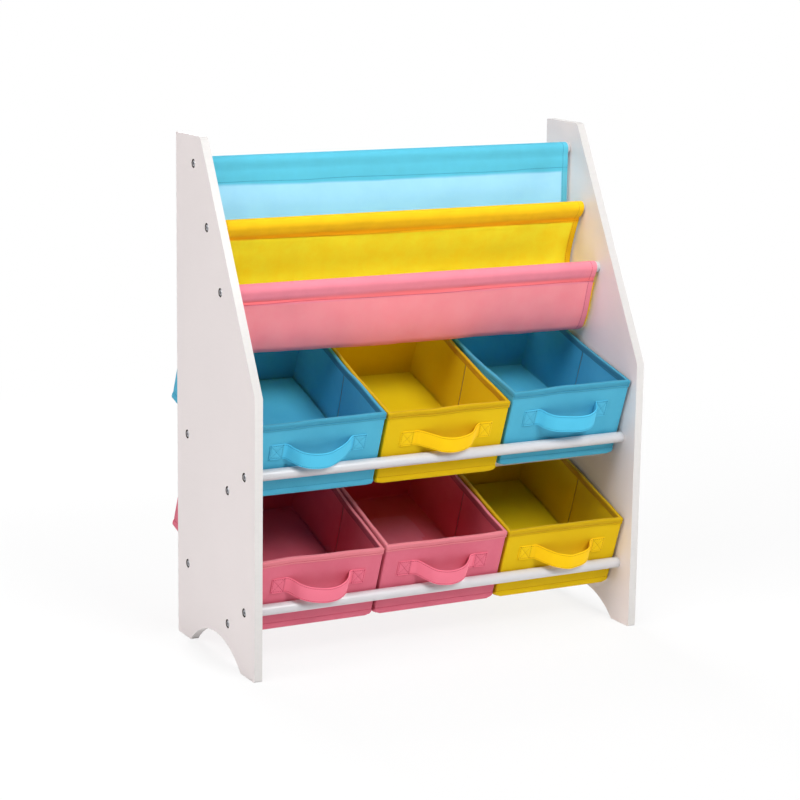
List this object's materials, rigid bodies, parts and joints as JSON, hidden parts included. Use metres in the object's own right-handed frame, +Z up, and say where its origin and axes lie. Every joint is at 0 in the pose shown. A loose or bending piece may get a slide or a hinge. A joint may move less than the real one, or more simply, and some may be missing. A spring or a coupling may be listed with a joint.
{
  "type": "toy storage unit",
  "caption": "Child's storage unit: two white side panels joined by tubes, with a two-pocket book sling above two sloping rows of removable fabric bins.",
  "frame": {"origin": "on the floor, at the middle of the unit's bounding box seen from above", "axes": "+Z up, +X to the right as seen from the front, +Y from the front to the rear; the bins' handles face -Y"},
  "size_m": [0.6248, 0.3164, 0.7355],
  "materials": {
    "panel_white": "satin",
    "tube_white": "satin",
    "plug_plastic": "matte",
    "screw_steel": "satin",
    "blue_cloth": "matte",
    "yellow_cloth": "matte",
    "pink_cloth": "matte",
    "board_grey": "matte"
  },
  "bodies": {
    "frame": {"left_side_panel": "panel_white", "right_side_panel": "panel_white", "sling_tube_top": "tube_white", "sling_tube_middle": "tube_white", "sling_tube_bottom": "tube_white", "upper_front_rail": "tube_white", "upper_support_tube": "tube_white", "upper_rear_tube": "tube_white", "lower_front_rail": "tube_white", "lower_support_tube": "tube_white", "lower_rear_tube": "tube_white", "left_tube_plugs": "plug_plastic", "right_tube_plugs": "plug_plastic", "left_panel_screws": "screw_steel", "right_panel_screws": "screw_steel", "blue_sling_panel": "blue_cloth", "yellow_sling_panel": "yellow_cloth", "pink_sling_panel": "pink_cloth"},
    "lower_left_bin": {"lower_left_bin_cover": "pink_cloth", "lower_left_bin_boards": "board_grey", "lower_left_bin_lining": "pink_cloth", "lower_left_bin_base_board": "pink_cloth", "lower_left_bin_rim": "pink_cloth", "lower_left_bin_handle": "pink_cloth"},
    "lower_middle_bin": {"lower_middle_bin_cover": "pink_cloth", "lower_middle_bin_boards": "board_grey", "lower_middle_bin_lining": "pink_cloth", "lower_middle_bin_base_board": "pink_cloth", "lower_middle_bin_rim": "pink_cloth", "lower_middle_bin_handle": "pink_cloth"},
    "lower_right_bin": {"lower_right_bin_cover": "yellow_cloth", "lower_right_bin_boards": "board_grey", "lower_right_bin_lining": "yellow_cloth", "lower_right_bin_base_board": "yellow_cloth", "lower_right_bin_rim": "yellow_cloth", "lower_right_bin_handle": "yellow_cloth"},
    "upper_left_bin": {"upper_left_bin_cover": "blue_cloth", "upper_left_bin_boards": "board_grey", "upper_left_bin_lining": "blue_cloth", "upper_left_bin_base_board": "blue_cloth", "upper_left_bin_rim": "blue_cloth", "upper_left_bin_handle": "blue_cloth"},
    "upper_middle_bin": {"upper_middle_bin_cover": "yellow_cloth", "upper_middle_bin_boards": "board_grey", "upper_middle_bin_lining": "yellow_cloth", "upper_middle_bin_base_board": "yellow_cloth", "upper_middle_bin_rim": "yellow_cloth", "upper_middle_bin_handle": "yellow_cloth"},
    "upper_right_bin": {"upper_right_bin_cover": "blue_cloth", "upper_right_bin_boards": "board_grey", "upper_right_bin_lining": "blue_cloth", "upper_right_bin_base_board": "blue_cloth", "upper_right_bin_rim": "blue_cloth", "upper_right_bin_handle": "blue_cloth"}
  },
  "joints": [
    {"name": "lower_left_bin_slide", "type": "slide", "parent": "frame", "child": "lower_left_bin", "axis": [0, 0.9397, 0.342], "range_m": [0, 0.28]},
    {"name": "lower_middle_bin_slide", "type": "slide", "parent": "frame", "child": "lower_middle_bin", "axis": [0, 0.9397, 0.342], "range_m": [0, 0.28]},
    {"name": "lower_right_bin_slide", "type": "slide", "parent": "frame", "child": "lower_right_bin", "axis": [0, 0.9397, 0.342], "range_m": [0, 0.28]},
    {"name": "upper_left_bin_slide", "type": "slide", "parent": "frame", "child": "upper_left_bin", "axis": [0, 0.9397, 0.342], "range_m": [0, 0.28]},
    {"name": "upper_middle_bin_slide", "type": "slide", "parent": "frame", "child": "upper_middle_bin", "axis": [0, 0.9397, 0.342], "range_m": [0, 0.28]},
    {"name": "upper_right_bin_slide", "type": "slide", "parent": "frame", "child": "upper_right_bin", "axis": [0, 0.9397, 0.342], "range_m": [0, 0.28]}
  ]
}
